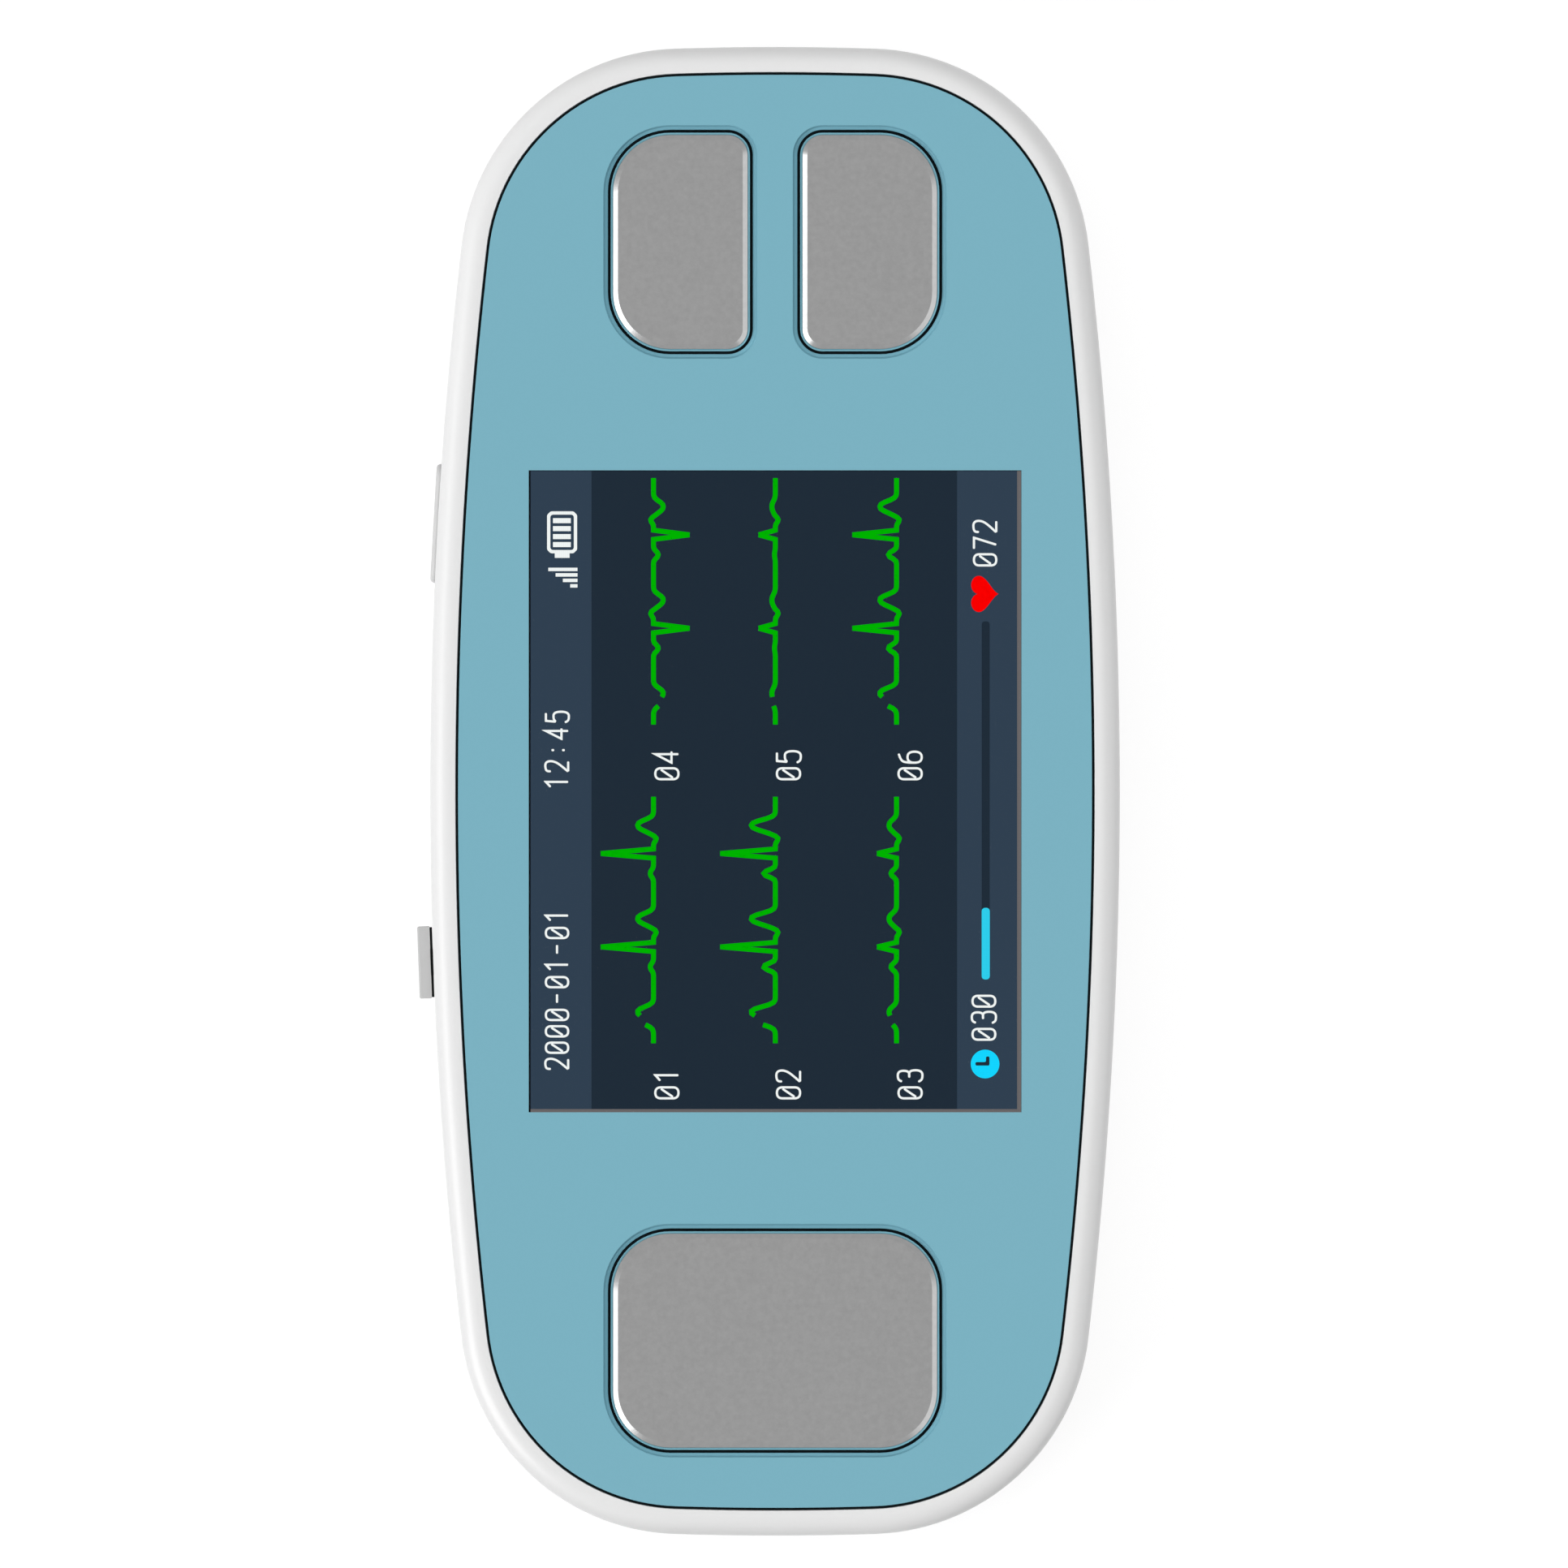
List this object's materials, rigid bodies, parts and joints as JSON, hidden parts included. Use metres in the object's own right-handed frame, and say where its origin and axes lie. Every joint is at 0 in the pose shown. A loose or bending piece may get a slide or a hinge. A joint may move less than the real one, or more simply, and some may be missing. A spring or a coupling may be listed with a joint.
{
  "type": "portable ecg monitor",
  "caption": "Slim handheld heart trace monitor: rounded white case, blue front, colour display, bare steel finger and rear electrodes, side push button and sliding power switch.",
  "frame": {"origin": "centre of the rear contact plate's outer face, on which the monitor rests on its back", "axes": "+X to the case's right side as its face is seen, +Y to its top end with the pair of electrodes, +Z out of its face"},
  "size_m": [0.054, 0.1142, 0.0154],
  "materials": {
    "white_case": "smooth moulded ABS, satin gloss",
    "blue_panel": "fine matt moulded plastic",
    "black_rubber": "matt moulded seal",
    "grey_knob": "satin moulded plastic",
    "blasted_steel": "fine bead-blasted stainless steel",
    "clear_lens": "clear anti-glare acrylic",
    "display_glass": "polished display glass",
    "black_foam": "closed-cell foam",
    "white_diffuser": "moulded diffuser",
    "sheet_steel": "folded bright sheet",
    "amber_film": "polyimide film",
    "beige_nylon": "moulded nylon",
    "green_board": "solder-masked laminate",
    "black_epoxy": "moulded epoxy",
    "gold_pin": "gold-plated brass",
    "cell_foil": "laminated foil pouch",
    "white_tape": "double-sided foam tape",
    "red_wire": "silicone insulation",
    "black_wire": "silicone insulation",
    "zinc_screw": "zinc-plated steel"
  },
  "bodies": {
    "case": {"rear_shell": "white_case", "front_shell": "white_case", "front_panel": "blue_panel", "panel_gasket": "black_rubber", "electrode_carrier_upper_left": "blue_panel", "electrode_carrier_upper_right": "blue_panel", "electrode_carrier_lower": "blue_panel", "electrode_upper_left": "blasted_steel", "electrode_upper_right": "blasted_steel", "electrode_lower": "blasted_steel", "rear_electrode": "blasted_steel", "contact_pin_upper_left": "gold_pin", "contact_pin_upper_right": "gold_pin", "contact_pin_lower": "gold_pin", "contact_pin_rear": "gold_pin", "display_lens": "clear_lens", "display_foam": "black_foam", "lcd_glass": "display_glass", "backlight": "white_diffuser", "display_bracket": "sheet_steel", "display_flex": "amber_film", "flex_socket": "beige_nylon", "bracket_screw_left": "zinc_screw", "bracket_screw_right": "zinc_screw", "main_board": "green_board", "processor_chip": "black_epoxy", "memory_chip": "black_epoxy", "ecg_amplifier_chip": "black_epoxy", "power_chip": "black_epoxy", "power_inductor": "black_epoxy", "clock_crystal": "sheet_steel", "buzzer": "black_epoxy", "radio_module": "sheet_steel", "usb_socket": "sheet_steel", "tactile_switch": "sheet_steel", "slide_switch": "sheet_steel", "battery_cell": "cell_foil", "battery_pad": "white_tape", "battery_guard_board": "green_board", "battery_wire_red": "red_wire", "battery_wire_black": "black_wire", "battery_plug": "beige_nylon", "battery_socket": "beige_nylon", "board_screw_1": "zinc_screw", "board_screw_2": "zinc_screw", "board_screw_3": "zinc_screw", "board_screw_4": "zinc_screw", "case_screw_1": "zinc_screw", "case_screw_2": "zinc_screw", "case_screw_3": "zinc_screw", "case_screw_4": "zinc_screw"},
    "side_button": {"side_button": "white_case", "tactile_plunger": "black_epoxy"},
    "power_knob": {"power_knob": "grey_knob", "power_knob_shield": "black_epoxy", "slide_switch_lever": "black_epoxy"}
  },
  "joints": [
    {"name": "button_press", "type": "slide", "parent": "case", "child": "side_button", "axis": [0.9984, -0.0561, 0], "range_m": [0, 0.0003], "stiffness_N_per_m": 5000},
    {"name": "power_slide", "type": "slide", "parent": "case", "child": "power_knob", "axis": [0.0357, -0.9994, 0], "range_m": [0, 0.0015]}
  ]
}
